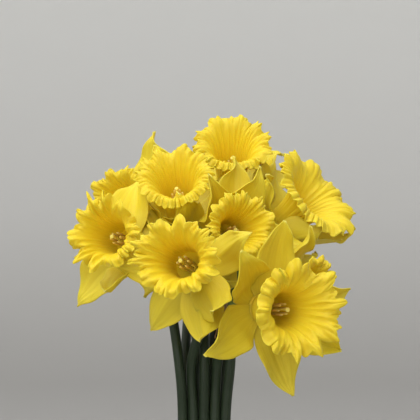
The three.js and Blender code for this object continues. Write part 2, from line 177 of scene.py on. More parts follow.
def linear(hex_colour):
    """The linear colour of an sRGB hex value."""
    parts = [int(hex_colour[n : n + 2], 16) / 255 for n in (1, 3, 5)]
    return (*[p / 12.92 if p <= 0.04045 else ((p + 0.055) / 1.055) ** 2.4 for p in parts], 1)


def new_material(name):
    """A material with its node tree and its Principled shader."""
    material = bpy.data.materials.new(name)
    material.use_nodes = True
    return material, material.node_tree, material.node_tree.nodes["Principled BSDF"]


def feed(tree, node, inputs):
    """Sets a node's inputs, by name or number. A node stands for the first of its outputs in use."""
    for name, value in inputs.items():
        named = [socket for socket in node.inputs if socket.name == name and socket.enabled]
        target = node.inputs[name] if isinstance(name, int) else named[0]
        if isinstance(value, bpy.types.Node):
            value = [socket for socket in value.outputs if socket.enabled][0]
        if isinstance(value, bpy.types.NodeSocket):
            tree.links.new(value, target)
        else:
            target.default_value = linear(value) if isinstance(value, str) else value


def add_node(tree, kind, inputs=None, stops=(), **settings):
    """Adds a node with its settings and inputs, and a ramp's stops as (place, hex colour)."""
    node = tree.nodes.new(kind)
    for name, value in settings.items():
        setattr(node, name, value)
    feed(tree, node, inputs or {})
    elements = node.color_ramp.elements if stops else ()
    while len(elements) < len(stops):
        elements.new(0.5)
    for element, (place, hex_colour) in zip(elements, stops):
        element.position = place
        element.color = linear(hex_colour)
    return node


print("mid grey in linear light", round(linear("#808080")[0], 3))

# %% [markdown]
# ## The backdrop's finish
# Plain matt studio card. It is a little darker low down, where the photograph's backdrop falls into
# shade, so the colour follows the height between two levels, in metres.

# %% Studio card
CARD_BOTTOM = -0.1
CARD_TOP = 1.15
CARD_SHADES = [(0, "#a29f9b"), (0.42, "#cdcbc7"), (1, "#ebeae6")]
card, tree, shader = new_material("matt studio card")
place = add_node(tree, "ShaderNodeTexCoord").outputs["Object"]
height = add_node(tree, "ShaderNodeSeparateXYZ", {"Vector": place}).outputs["Z"]
rise = add_node(tree, "ShaderNodeMapRange", {"Value": height, "From Min": CARD_BOTTOM, "From Max": CARD_TOP})
shade = add_node(tree, RAMP, {"Fac": rise}, CARD_SHADES)
feed(tree, shader, {"Base Color": shade, "Roughness": 0.9})
backdrop.data.materials.append(card)
print("backdrop finish", card.name)

# %% [markdown]
# ## Where each bloom stands
# These are the plant's own numbers, the same that its solids were made from, in millimetres and degrees:
# where a bloom's tepals spring from, where it looks, its trumpet's mouth, its stem's place in the bunch,
# and how each tepal turns and leans. Three things are new: into how many fingers each lobe of the rim
# parts, on which side the fingers crowd, as an angle on a clock face with how much, and how far the
# tepals fold along their ribs.

# %% The flowers
BLOOM = {
    "tepal_length": 46,
    "tepal_half_width": 13.2,
    "tepal_root": 4.5,
    "whorl_step": 0.7,
    "hub_height": 2.2,
    "tube_length": 20,
    "trumpet_length": 38,
    "throat_radius": 8.2,
    "flare": 3.2,
    "frill": 4,
    "lobes": 10,
    "gap": 0.3,
}
FLOWERS = [
    {
        "at": (32.8, -70, 367.8), "yaw": 27, "pitch": 1, "roll": 3, "column": 1, "row": 0,
        "size": 1, "mouth": 24, "oval": 1, "fingers": 2, "crowd": (-80, 1), "fold": 0.3,
        "turn": (2, 17, -5, -24, -2, 15), "lean": (26, 15, 10, -4, 24, 49),
    },
    {
        "at": (-3.7, -74, 389.3), "yaw": -14, "pitch": 10, "roll": 5, "column": -1, "row": 0,
        "size": 0.98, "mouth": 22.5, "oval": 0.87, "fingers": 2, "crowd": (170, 0.6), "fold": -0.6,
        "turn": (-25, 4, 18, -21, -23, -15), "lean": (-60, 52, 55, 32, -34, -8),
    },
    {
        "at": (-37.2, -30.6, 401), "yaw": -24, "pitch": 10, "roll": 345, "column": -2, "row": 0,
        "size": 0.97, "mouth": 19.5, "oval": 1, "fingers": 2, "crowd": (120, 0.6), "fold": 0.4,
        "turn": (4, 0, 0, 11, 0, -5), "lean": (-33, -40, 0, 56, -4, -45),
    },
    {
        "at": (-10.7, -9, 415), "yaw": -8, "pitch": 40, "roll": 336, "column": -0.5, "row": 1,
        "size": 0.95, "mouth": 20.5, "oval": 1, "fingers": 3, "crowd": (180, 0.7), "fold": 0.3,
        "turn": (0, 0, 0, 0, 0, 0), "lean": (30, 0, 0, 0, 0, 0),
    },
    {
        "at": (17.3, 30, 430.8), "yaw": 2, "pitch": 45, "roll": 320, "column": 0.5, "row": 1,
        "size": 0.98, "mouth": 21.5, "oval": 1, "fingers": 3, "crowd": (180, 0.7), "fold": 0.3,
        "turn": (0, 20, -14, 0, 0, 0), "lean": (-10, 2, -6, -30, -30, -10),
    },
    {
        "at": (38.6, 4, 406), "yaw": 58, "pitch": 36, "roll": 25, "column": 1.5, "row": 1,
        "size": 1, "mouth": 28, "oval": 1, "fingers": 3, "crowd": (-100, 0.6), "fold": 0.3,
        "turn": (4, 0, -7, 11, 35, 37), "lean": (30, -20, 52, 64, 62, 40),
    },
    {
        "at": (12.2, -27, 404), "yaw": 16, "pitch": 12, "roll": 5, "column": 0, "row": 0,
        "size": 0.92, "mouth": 18, "oval": 1, "fingers": 3, "crowd": (150, 0.6), "fold": 0.3,
        "turn": (4, -36, -25, 8, 0, 22), "lean": (22, 42, 20, -10, -10, 58),
    },
    {
        "at": (43, -30, 382), "yaw": 45, "pitch": -5, "roll": 10, "column": 2, "row": 0,
        "size": 0.72, "mouth": 15, "oval": 1, "fingers": 2, "crowd": (0, 0.6), "fold": 0.3,
        "turn": (0, 0, 0, 0, 0, 0), "lean": (0, 0, 0, 0, 0, 0),
    },
    {
        "at": (-28, 42, 416.5), "yaw": -32, "pitch": 15, "roll": 354, "column": -1.5, "row": 1,
        "size": 1, "mouth": 18, "oval": 1, "fingers": 3, "crowd": (180, 0.6), "fold": 0.3,
        "turn": (7, 0, 0, 0, 0, 0), "lean": (26, 0, 0, 0, 0, 0),
    },
]
print("flowers", len(FLOWERS))

# %% [markdown]
# ## A bloom's own directions
# A tepal or a trumpet is easiest to describe from its bloom's middle: how far right, how far up and how
# far forward. Two angles say which way the bloom looks, and its size shrinks or stretches the whole of it.

# %% Bloom frame


def smooth(x, low, high):
    """0 below low, 1 above high, and a soft step between."""
    t = np.clip((np.asarray(x, float) - low) / (high - low), 0, 1)
    return t * t * (3 - 2 * t)


def bloom_frame(flower):
    """A bloom's middle, the way it looks, and right and up as seen from in front."""
    yaw = math.radians(flower["yaw"])
    pitch = math.radians(flower["pitch"])
    axis = np.array([math.sin(yaw) * math.cos(pitch), -math.cos(yaw) * math.cos(pitch), math.sin(pitch)])
    right = np.array([math.cos(yaw), math.sin(yaw), 0])
    return np.array(flower["at"], float), axis, right, np.cross(axis, right)


def in_bloom(flower, x, y, forward):
    """Points of a bloom, in millimetres, from right, up and forward of its middle."""
    middle, axis, right, up = bloom_frame(flower)
    x, y, forward = np.broadcast_arrays(x, y, forward)
    local = x[..., None] * right + y[..., None] * up + forward[..., None] * axis
    return middle + flower["size"] * local


print("the front bloom looks along", bloom_frame(FLOWERS[0])[1].round(2))

# %% [markdown]
# ## A sheet of tissue from a grid
# Petals, trumpets, stems and leaves are all thin or round skins that follow a curved surface. Each is
# made from a grid primitive, whose points are laid on that surface by their place along and across.
# Where the grid closes round on itself, its seam is merged. Every point also keeps where it lies, as an
# attribute named "lie", so that veins and colours can follow the tissue and not the room.

# %% Grid helper


def laid_grid(name, along, across, surface, closed=False):
    """A grid of cells laid on surface(s, t) in millimetres, with s along and t across, both 0 to 1."""
    bpy.ops.object.select_all(action="DESELECT")
    bpy.ops.mesh.primitive_grid_add(x_subdivisions=across, y_subdivisions=along, size=1)
    piece = bpy.context.object
    piece.name = name
    points = np.zeros(len(piece.data.vertices) * 3)
    piece.data.vertices.foreach_get("co", points)
    points = points.reshape(-1, 3)
    s = points[:, 1] + 0.5
    t = points[:, 0] + 0.5
    piece.data.vertices.foreach_set("co", (surface(s, t) * MM).ravel())
    lie = piece.data.attributes.new("lie", "FLOAT_VECTOR", "POINT")
    lie.data.foreach_set("vector", np.stack([t, s, np.zeros_like(s)], 1).ravel())
    if closed:
        bpy.ops.object.mode_set(mode="EDIT")
        bpy.ops.mesh.select_all(action="SELECT")
        bpy.ops.mesh.remove_doubles(threshold=MERGE_DISTANCE)
        bpy.ops.object.mode_set(mode="OBJECT")
    for layer in list(piece.data.uv_layers):
        piece.data.uv_layers.remove(layer)
    bpy.ops.object.shade_smooth()
    return piece


def thicken(piece, sheet):
    """Gives a sheet its thickness, in millimetres, half to each side."""
    bpy.context.view_layer.objects.active = piece
    wall = piece.modifiers.new("wall", "SOLIDIFY")
    wall.thickness = sheet * MM
    wall.offset = 0
    bpy.ops.object.modifier_apply(modifier="wall")


print("a grid of 2 by 3 cells has", 3 * 4, "points")

# %% [markdown]
# ## Small tools for finished skins
# A lie has three numbers: across, along, and a mark that tells one part from another in a joined piece.
# A finished piece takes the place of its solid, rides with the pot and takes its finish.

# %% Tools for finished skins


def face_outwards(piece):
    """Turns a closed piece's faces to point out."""
    pick(piece)
    bpy.ops.object.mode_set(mode="EDIT")
    bpy.ops.mesh.select_all(action="SELECT")
    bpy.ops.mesh.normals_make_consistent(inside=False)
    bpy.ops.object.mode_set(mode="OBJECT")


def mark_part(piece, mark):
    """Sets the mark, the third number of every point's lie."""
    for point in piece.data.attributes["lie"].data:
        point.vector = (point.vector[0], point.vector[1], mark)


def joined(name, pieces):
    """Several pieces as one, with its place in its mesh."""
    pick(*pieces)
    bpy.ops.object.join()
    pieces[0].name = name
    return pieces[0]


def placed(piece, node, material):
    """A finished piece takes a node's place and its finish, and rides with the pot."""
    piece.data.materials.clear()
    piece.data.materials.append(material)
    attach(piece, "root")
    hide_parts(node)


# %% [markdown]
# ## The plain form of a tepal
# A bloom's six tepals leave the hub level, lean back or forward, and curl on towards the tip. Each is
# broad below the middle, pointed at its tip and a little cupped. This is the solid's own form, with its
# bend left open: a lean, a curl, a turn round the bloom and a reach.

# %% Plain form of a tepal
TEPAL = {"widest": 0.42, "root_share": 0.36, "tip_half_width": 0.5, "cup": 0.16}
LEAN_SETS_IN = (0.03, 0.3)
RIB_STEPS = 12


def tepal_half_width(s):
    """Broad below the middle, with a pointed tip."""
    widest = TEPAL["widest"]
    share = TEPAL["root_share"]
    full = BLOOM["tepal_half_width"]
    low = full * (share + (1 - share) * np.sin(np.pi / 2 * np.clip(s / widest, 0, 1)))
    high = full * (1 - np.clip((s - widest) / (1 - widest), 0, 1) ** 1.8)
    return np.where(s < widest, low, np.maximum(high, TEPAL["tip_half_width"]))


def tepal_rib(flower, k, bend, s):
    """How far out and forward the rib lies at s, and its lean there, in radians."""
    lean_from, curl, _, reach = bend

    def lean_at(u):
        return np.radians((flower["lean"][k] + lean_from + curl * u) * smooth(u, *LEAN_SETS_IN))

    out = BLOOM["tepal_root"] + 0 * s * reach
    forward = (-1 if k % 2 else 1) * BLOOM["whorl_step"] + 0 * s * reach
    for n in range(RIB_STEPS):
        lean = lean_at((n + 0.5) / RIB_STEPS * s)
        out = out + np.cos(lean) * BLOOM["tepal_length"] * reach * s / RIB_STEPS
        forward = forward + np.sin(lean) * BLOOM["tepal_length"] * reach * s / RIB_STEPS
    return out, forward, lean_at(s)


def tepal_place(flower, k, bend, out, side, forward):
    """Points of tepal k from how far out, sideways and forward they are."""
    clock = np.radians(flower["roll"] + 60 * k + flower["turn"][k] + bend[2])
    x = out * np.sin(clock) + side * np.cos(clock)
    y = out * np.cos(clock) - side * np.sin(clock)
    return in_bloom(flower, x, y, forward)


def cupped(s, t, half):
    """How far the edges of a tepal rise over its rib."""
    return TEPAL["cup"] * t * t * half * smooth(s, 0.1, 0.5)


def tepal_mid(flower, k, bend, s, t):
    """The tepal's plain middle sheet, s from root to tip and t from -1 to 1 across."""
    out, forward, lean = tepal_rib(flower, k, bend, s)
    half = tepal_half_width(s)
    cup = cupped(s, t, half)
    return tepal_place(flower, k, bend, out - cup * np.sin(lean), t * half, forward + cup * np.cos(lean))


print("a tepal is", 2 * BLOOM["tepal_half_width"], "mm wide and", BLOOM["tepal_length"], "mm long")

# %% [markdown]
# ## How each tepal lies
# In a close bunch each tepal is pushed by its neighbours. The solids already hold those bends, so they
# are measured: of the bends that a tepal can take, the one whose rib and edges lie closest to the solid's
# own points is the right one.

# %% Tepal bends
# Every bend tried: its lean, curl and turn in degrees, and the share of its length that it reaches.
BENDS = np.array(
    [
        (lean, curl, turn, reach)
        for reach in (1, 0.85, 0.7, 0.55)
        for lean in range(-80, 81, 10)
        for curl in range(-48, 49, 16)
        for turn in range(-16, 17, 8)
    ],
    float,
)


def node_points(node):
    """A CAD node's own points, in millimetres."""
    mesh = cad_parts[node].data
    points = np.zeros(len(mesh.vertices) * 3)
    mesh.vertices.foreach_get("co", points)
    return np.unique(np.round(points.reshape(-1, 3) / MM, 3), axis=0)


# Where a tepal is compared with its solid: along its rib and at its edges.
MEASURED_ALONG = np.array([[0.4, 0.7, 1, 0.4, 0.4, 0.7, 0.7]])
MEASURED_ACROSS = np.array([[0, 0, 0, -1, 1, -1, 1]])
FAR_OFF = 4


def measured_bends(n):
    """The six bends of a bloom's tepals, measured on its CAD node."""
    flower = FLOWERS[n]
    solid = node_points(f"perianth_{n + 1}")
    found = []
    for k in range(6):
        bend = [BENDS[:, c : c + 1] for c in range(4)]
        guesses = tepal_mid(flower, k, bend, MEASURED_ALONG, MEASURED_ACROSS)
        away = np.linalg.norm(guesses[:, :, None, :] - solid[None, None], axis=-1).min(-1).sum(-1)
        found.append(tuple(BENDS[away.argmin()]))
        if away.min() > FAR_OFF:
            print("bloom", n + 1, "tepal", k, "is off by", round(float(away.min()), 2))
    return found


TEPAL_BENDS = [measured_bends(n) for n in range(len(FLOWERS))]
print("tepals measured", sum(len(b) for b in TEPAL_BENDS))

# %% [markdown]
# ## Tepals
# A tepal isn't a flat blade: it folds along its rib, its edges wave, fine ridges run along it, and it
# twists and curls towards its tip. The three front blooms have room. The tepals of the others are
# pressed by their neighbours, so they do all this more. Each is a fine sheet laid on the measured bend
# with those forms added, in millimetres, and is then thickened.

# %% Tepals
TEPAL_SHEET = 0.5
TEPAL_ROWS = 44
TEPAL_COLUMNS = 22
FREE_BLOOMS = 3
PRESSED = 1.6
FORMS_SET_IN = (0.12, 0.5)
# The twist in degrees, and the other forms in millimetres.
RELIEF = {"twist": 18, "tip_curl": 4.2, "wave": 2.0, "buckle": 0.9, "ridge": 0.16, "vein": 0.05}


def tepal_relief(s, t, half, seed, pressed, fold):
    """How far a tepal's skin rises off its plain sheet: cup, waves, fold, buckles, ridges and veins."""
    grown = smooth(s, *FORMS_SET_IN)
    edge = np.abs(t) ** 2.5
    wave = np.where(t < 0, np.sin(6.5 * s + seed), np.sin(8 * s + 2 * seed))
    wave = wave + 0.4 * np.where(t < 0, np.sin(19 * s + 3 * seed), np.sin(16 * s + seed))
    buckle = RELIEF["buckle"] * pressed * np.sin(7 * s + 1.3 * t + seed)
    lift = cupped(s, t, half)
    lift = lift + RELIEF["wave"] * pressed * edge * wave * grown * (1 - 0.5 * smooth(s, 0.85, 1))
    lift = lift + fold * (np.sqrt(t * t + 0.01) - 0.1) * half * grown
    lift = lift + buckle * np.cos(1.2 * t + 2 * seed) * grown
    lift = lift + RELIEF["ridge"] * np.cos(5 * np.pi * t + 1.5 * s) * grown * (1 - smooth(s, 0.8, 1))
    return lift + RELIEF["vein"] * np.cos(17 * np.pi * t + seed) * grown * (1 - smooth(s, 0.85, 1))


def fine_tepal(n, k):
    """Tepal k of bloom n, with a twist, a curled tip, a fold and a tone of its own."""
    flower = FLOWERS[n]
    bend = TEPAL_BENDS[n][k]
    seed = 2.3 * n + 1.7 * k
    pressed = 1 if n < FREE_BLOOMS else PRESSED
    twist = math.radians(RELIEF["twist"] * pressed * math.sin(seed * 3.1))
    tip_curl = RELIEF["tip_curl"] * pressed * math.sin(seed * 2.7)
    fold = flower["fold"] + 0.2 * math.sin(seed * 4.3)

    def surface(s, across):
        t = 2 * across - 1
        out, forward, lean = tepal_rib(flower, k, bend, s)
        half = tepal_half_width(s) * (1 + 0.03 * np.sin(13 * s + seed + 2 * np.sign(t)))
        lift = tepal_relief(s, t, half, seed, pressed, fold) + tip_curl * smooth(s, 0.8, 1) ** 2
        side = t * half / np.sqrt(1 + fold * fold * smooth(s, *FORMS_SET_IN))
        roll = twist * smooth(s, 0.25, 1)
        rise = lift * np.cos(roll) + side * np.sin(roll)
        side = side * np.cos(roll) - lift * np.sin(roll)
        return tepal_place(flower, k, bend, out - rise * np.sin(lean), side, forward + rise * np.cos(lean))

    piece = laid_grid("tepal", TEPAL_ROWS, TEPAL_COLUMNS, surface)
    mark_part(piece, 0.25 + 0.25 * math.sin(5.1 * seed))
    thicken(piece, TEPAL_SHEET)
    return piece


tepals = [[fine_tepal(n, k) for k in range(6)] for n in range(len(FLOWERS))]
print("tepal faces", sum(len(piece.data.polygons) for six in tepals for piece in six))

# %% [markdown]
# ## Hub and floral tube
# Behind the tepals their tissue runs together into a tube with six soft ridges. In front it ends in a
# hub, which the trumpet's foot covers. Hub and tube are one profile of (radius, forward) points, turned
# about the bloom's axis, and the six tepals are joined to it, because the plant grows them as one.

# %% Tubes and perianths
TUBE_PROFILE = [
    (0, 0.8), (5, 0.9), (7.8, 1.3), (8.3, 0.7), (8.2, -0.8), (7.2, -2.6), (5.4, -8), (4.4, -14), (4, -20),
    (0, -20.2),
]
TUBE_ROWS = 40
TUBE_COLUMNS = 36


def floral_tube(flower):
    """The hub and tube, with six soft ridges."""
    profile = np.array(TUBE_PROFILE)
    marks = np.linspace(0, 1, len(profile))

    def surface(s, t):
        angle = 2 * np.pi * t
        radius = np.interp(s, marks, profile[:, 0]) * (1 + 0.05 * np.cos(6 * angle) * smooth(s, 0.3, 0.6))
        forward = np.interp(s, marks, profile[:, 1])
        return in_bloom(flower, radius * np.sin(angle), radius * np.cos(angle), forward)

    piece = laid_grid("tube", TUBE_ROWS, TUBE_COLUMNS, surface, closed=True)
    mark_part(piece, 1)
    return piece


perianths = [joined(f"tepals_{n + 1}", [*tepals[n], floral_tube(FLOWERS[n])]) for n in range(len(FLOWERS))]
print("perianth faces", sum(len(p.data.polygons) for p in perianths))

# %% [markdown]
# ## How a trumpet's rim folds
# The rim's big lobes are the solid's own. Each of them parts into a few fingers, and no two fingers are
# alike: every one draws its own length, its own bend forward or back, and its own roll of the lip. On one
# side of the mouth the fingers crowd against each other, and on the other they stand apart. Finer frills
# run along their edges. These folds are worked out first, as numbers round the rim.

# %% Folds of the rim
LONG = (0.4, 1.15)
BENT = (-1, 1)
ROLLED = (0.3, 1.7)
FRILLED = (0.2, 1.2)


def crest(phase, power=0.8):
    """A fold with a broad crest and a sharp crease, from 0 to 1, in step with a sine."""
    return np.abs(np.cos(phase / 2 - np.pi / 4)) ** power


def each_fold(phase, count, span, draw):
    """A number drawn for each of count folds. It changes only in the creases between them."""
    numbers = draw.uniform(*span, count)
    return numbers[np.floor((phase + np.pi / 2) / (2 * np.pi)).astype(int) % count]


def rim_folds(flower, angle):
    """Round the rim: lobes, crowding, sideways sway, fingers, their length, bend and roll, and frills."""
    seed = flower["at"][0]
    draw = np.random.default_rng(int(10 * abs(seed)))
    side, press = flower["crowd"]
    count = flower["fingers"] * BLOOM["lobes"]
    phase = BLOOM["lobes"] * angle + 0.9 * np.sin(2 * angle + seed) + 0.7 * np.sin(3 * angle + 2 * seed)
    finger_phase = flower["fingers"] * phase + 1.6 * np.sin(3 * angle + seed)
    frill_phase = 2 * finger_phase + 2 * np.sin(5 * angle + seed)
    crowded = press * smooth(np.cos(angle - np.radians(side)), -0.2, 0.9)
    finger = crest(finger_phase, 0.8 + 1.2 * crowded)
    long = each_fold(finger_phase, count, LONG, draw)
    bend = each_fold(finger_phase, count, BENT, draw)
    rolled = each_fold(finger_phase, count, ROLLED, draw) * (1 - 0.8 * crowded)
    frill = crest(frill_phase) * each_fold(frill_phase, 2 * count, FRILLED, draw)
    return np.sin(phase), crowded, np.cos(finger_phase), finger, long, bend, rolled, frill


one_rim = rim_folds(FLOWERS[0], np.linspace(0, 2 * np.pi, 361))
print("fingers of the front bloom reach from", one_rim[4].min().round(2), "to", one_rim[4].max().round(2))

# %% [markdown]
# ## Trumpets
# The trumpet is what the eye goes to: a narrow, smooth throat that flares into a wide mouth. Its foot
# closes as a small golden floor over the hub, but for a small hole under the stamens. The folds grow
# towards the rim, where the lip rolls back. Rims with three fingers to a lobe are folded less deeply.

# %% Trumpets
TRUMPET_SHEET = 0.6
TRUMPET_ROWS = 36
TRUMPET_COLUMNS = 340
# How much wider the trumpet gets from throat to rim before its flare, in millimetres.
SLOPE = 1.6
# Sizes of the rim's forms, in millimetres.
RIM = {
    "finger": 3.9,
    "crease": 2.3,
    "finger_bend": 2.3,
    "ripple": 1.6,
    "lip": 0.8,
    "pleat": 0.55,
    "sway": 1.3,
    "frill": 1.1,
    "crowded_frill": 1.9,
    "roll": 2.6,
    "crowded_roll": 3.6,
    "crumple": 0.5,
    "vein": 0.05,
}


def trumpet_surface(flower):
    """A trumpet's skin: how far out each point is, how far forward, and its angle round the mouth."""
    seed = flower["at"][0]
    mouth = flower["mouth"] / flower["size"]
    throat = BLOOM["throat_radius"]
    ragged = (2 / flower["fingers"]) ** 2

    def surface(s, t):
        rows = 1 - (1 - s) ** 1.2
        angle = 2 * np.pi * t
        lobe, crowded, sway, finger, long, bend, rolled, frill = rim_folds(flower, angle)
        spread = smooth(rows, 0.55, 1)
        lip = smooth(rows, 0.84, 1)
        fold = BLOOM["frill"] * ragged ** 0.5 * smooth(rows, 0.35, 1) * (1 + 0.3 * np.sin(2 * angle + seed))
        deep = ragged * spread * (1 - 0.85 * crowded)
        radius = throat * smooth(s, -0.01, 0.02) + SLOPE * rows
        radius = radius + (mouth - throat - SLOPE) * rows ** BLOOM["flare"]
        out = radius + 0.3 * fold * lobe + deep * (RIM["finger"] * long * finger - RIM["crease"])
        out = out + RIM["ripple"] * ragged * lip * (frill - 0.5)
        out = out + RIM["lip"] * lip * rolled * finger
        out = out + RIM["pleat"] * (finger - 0.6) * smooth(rows, 0.2, 0.6)
        veins = RIM["vein"] * np.sin(40 * angle) * smooth(rows, 0.05, 0.3) * (1 - smooth(rows, 0.6, 0.8))
        h = BLOOM["hub_height"] - 0.3 + (BLOOM["trumpet_length"] + 0.6) * (1 - (1 - rows) ** 1.5)
        h = h + 0.55 * fold * lobe * smooth(rows, 0.6, 1)
        h = h + RIM["sway"] * spread * np.sin(2 * angle + 3 * seed)
        h = h + spread * finger * (RIM["finger_bend"] * ragged * bend * (1 - 0.9 * crowded) + 0.4)
        h = h + (RIM["frill"] + RIM["crowded_frill"] * crowded) * smooth(rows, 0.75, 1) * (frill - 0.5)
        h = h - lip * lip * (RIM["crowded_roll"] * crowded + RIM["roll"] * rolled * finger)
        crumple = np.sin(23 * angle + 9 * rows + seed) * np.sin(31 * rows + 3 * np.sin(7 * angle))
        h = h + RIM["crumple"] * ragged * crumple * smooth(rows, 0.7, 0.95)
        turned = angle + (0.4 - 1.4 * crowded) * smooth(rows, 0.7, 1) * sway / radius
        squash = 1 + (flower["oval"] - 1) * rows
        return in_bloom(flower, (out + veins) * np.sin(turned), squash * (out + veins) * np.cos(turned), h)

    return surface


def trumpet(n):
    """The trumpet of bloom n, open at its foot and its mouth."""
    surface = trumpet_surface(FLOWERS[n])
    piece = laid_grid(f"trumpet_wall_{n + 1}", TRUMPET_ROWS, TRUMPET_COLUMNS, surface, closed=True)
    thicken(piece, TRUMPET_SHEET)
    return piece


trumpets = [trumpet(n) for n in range(len(FLOWERS))]
print("trumpet faces", sum(len(p.data.polygons) for p in trumpets))

# %% [markdown]
# ## Stamens and style
# Six stamens stand close round the style in each throat, each a pale thread with a long tan anther, and
# the style ends in a small knob, which is left round here because it is only 2.5 mm wide. They are
# turned skins too, narrow where the thread is and full where the anther is. A profile is a list of
# (radius, height) points.

# %% Stamens
STAMEN = {"count": 6, "circle": 2.6, "first": 20, "lean": 0.006, "thread": 0.4, "anther": 0.72, "length": 24}
STYLE_LENGTH = 28
ANTHER_MARK = 1
STYLE_MARK = 0


def upright(flower, along, around, x, y, lean, profile, mark):
    """A turned rod in a bloom's throat that starts at (x, y) and leans outwards by lean."""
    heights = np.array([p[1] for p in profile], float)
    radii = np.array([p[0] for p in profile], float)
    marks = np.linspace(0, 1, len(profile))

    def surface(s, t):
        angle = 2 * np.pi * t
        h = np.interp(s, marks, heights)
        r = np.interp(s, marks, radii)
        spread = 1 + lean * h
        return in_bloom(flower, x * spread + r * np.sin(angle), y * spread + r * np.cos(angle), h)

    piece = laid_grid("rod", along, around, surface, closed=True)
    mark_part(piece, mark)
    face_outwards(piece)
    return piece


def stamens(n):
    """The six stamens and the style of bloom n."""
    thread, anther, length = STAMEN["thread"], STAMEN["anther"], STAMEN["length"]
    rod = [(0, 0.5), (thread, 0.6), (thread, length - 9), (anther * 0.8, length - 8.4)]
    rod += [(anther, length - 6), (anther, length - 3), (anther * 0.8, length - 0.8), (0, length)]
    parts = []
    for k in range(STAMEN["count"]):
        angle = math.radians(60 * k + STAMEN["first"])
        x, y = STAMEN["circle"] * math.sin(angle), STAMEN["circle"] * math.cos(angle)
        parts.append(upright(FLOWERS[n], 28, 10, x, y, STAMEN["lean"], rod, ANTHER_MARK))
    end = STYLE_LENGTH
    style = [(0, 0.5), (0.6, 0.6), (0.55, end - 4), (0.7, end - 2)]
    style += [(1.25, end - 0.8), (1.1, end), (0, end + 0.2)]
    parts.append(upright(FLOWERS[n], 24, 12, 0, 0, 0, style, STYLE_MARK))
    return joined(f"stamens_{n + 1}", parts)


all_stamens = [stamens(n) for n in range(len(FLOWERS))]
print("stamen faces", sum(len(p.data.polygons) for p in all_stamens))

# %% [markdown]
# ## Where each stalk runs
# A stalk is a stem out of the soil, a thin neck that bends over, and the swollen green ovary under the
# bloom. Its line is the same smooth curve that the solid follows, through the same points.

# %% Lines of the stalks
SOIL_TOP = 116
SOIL_HOLE = 34
OVARY_LENGTH = 14
ROOT_HEIGHT = SOIL_TOP - SOIL_HOLE + 0.3
BUNCH = {
    "waist": 300, "middle": 1.7, "pitch": 6.1, "half_gap": 2.9, "soil_pitch": 9.2, "soil_half_gap": 4.8,
    "spread_across": 1.2, "spread_deep": 2.1, "above": 34, "crook_back": 7, "crook_down": 10,
}


def curve_through(points, per_span=60):
    """A centripetal Catmull-Rom curve through points, as many close points along it."""
    points = np.array(points, float)
    ends = [2 * points[0] - points[1], *points, 2 * points[-1] - points[-2]]
    path = []
    for a, b, c, d in zip(ends, ends[1:], ends[2:], ends[3:]):
        knots = np.cumsum([0] + [np.linalg.norm(q - p) ** 0.5 for p, q in ((a, b), (b, c), (c, d))])
        t = np.linspace(knots[1], knots[2], per_span, endpoint=False)[:, None]
        t0, t1, t2, t3 = knots
        first = (t1 - t) / (t1 - t0) * a + (t - t0) / (t1 - t0) * b
        second = (t2 - t) / (t2 - t1) * b + (t - t1) / (t2 - t1) * c
        third = (t3 - t) / (t3 - t2) * c + (t - t2) / (t3 - t2) * d
        near = (t2 - t) / (t2 - t0) * first + (t - t0) / (t2 - t0) * second
        far = (t3 - t) / (t3 - t1) * second + (t - t1) / (t3 - t1) * third
        path.append((t2 - t) / (t2 - t1) * near + (t - t1) / (t2 - t1) * far)
    return np.vstack([*path, points[-1:]])


def stalk_line(flower):
    """Close points along a stalk, and how far along it each lies."""
    column = flower["column"]
    side = 1 if flower["row"] else -1
    foot = np.array([column * BUNCH["soil_pitch"], side * BUNCH["soil_half_gap"], ROOT_HEIGHT])
    waist_across = BUNCH["middle"] + column * BUNCH["pitch"]
    waist = np.array([waist_across, side * BUNCH["half_gap"], BUNCH["waist"]])
    spread = (waist[0] * BUNCH["spread_across"], waist[1] * BUNCH["spread_deep"])
    above = np.array([*spread, BUNCH["waist"] + BUNCH["above"]])
    axis = bloom_frame(flower)[1]
    end = in_bloom(flower, 0, 0, -BLOOM["tube_length"]) - axis * BLOOM["gap"]
    ovary_foot = end - axis * OVARY_LENGTH
    crook = ovary_foot - axis * BUNCH["crook_back"] - np.array([0, 0, BUNCH["crook_down"]])
    low = [[*foot[:2], SOIL_TOP + 8], [*foot[:2], SOIL_TOP + 24]]
    path = curve_through([foot, *low, waist, above, crook, ovary_foot, end])
    steps = np.linalg.norm(np.diff(path, axis=0), axis=1)
    return path, np.concatenate([[0], np.cumsum(steps)])


print("stalk lengths in mm", [round(stalk_line(flower)[1][-1]) for flower in FLOWERS])

# %% [markdown]
# ## Stalks
# Each stalk is a grid wrapped round its line: every row takes its place and direction from the line, and
# its radius from one profile. Rows lie closer on the last 70 mm, where neck and ovary bend and swell.

# %% Stalks
STEM_RADIUS = 2.85
# (distance back from the bloom, radius) points in millimetres: ovary, neck and stem.
STALK_PROFILE = [
    (0, 4), (2.5, 4.35), (5, 4.6), (8, 4.5), (10, 4.1), (12.5, 3.1), (14, 2.5), (18, 2.1), (25, 2.2),
    (33, 2.5), (44, STEM_RADIUS), (400, STEM_RADIUS),
]
STALK_ROWS = 150
PLAIN_ROWS = STALK_ROWS // 3
STALK_COLUMNS = 30
CURVED_END = 70
# A stalk's lie along counts from its bloom, and is 1 this far behind it.
COLOURED_LENGTH = 100


def along_line(path, far, wanted):
    """Points and unit tangents at the wanted distances along a line."""
    near = 0.8

    def at(distance):
        return np.stack([np.interp(distance, far, path[:, c]) for c in range(3)], -1)

    place = at(wanted)
    tangent = at(wanted + near) - at(wanted - near)
    return place, tangent / np.linalg.norm(tangent, axis=-1, keepdims=True)


def carried_normals(tangents):
    """A sideways direction at each tangent, carried along so that it never flips."""
    normal = np.array([1.0, 0, 0])
    found = []
    for tangent in tangents:
        normal = normal - tangent * normal.dot(tangent)
        normal = normal / np.linalg.norm(normal)
        found.append(normal)
    return np.array(found)


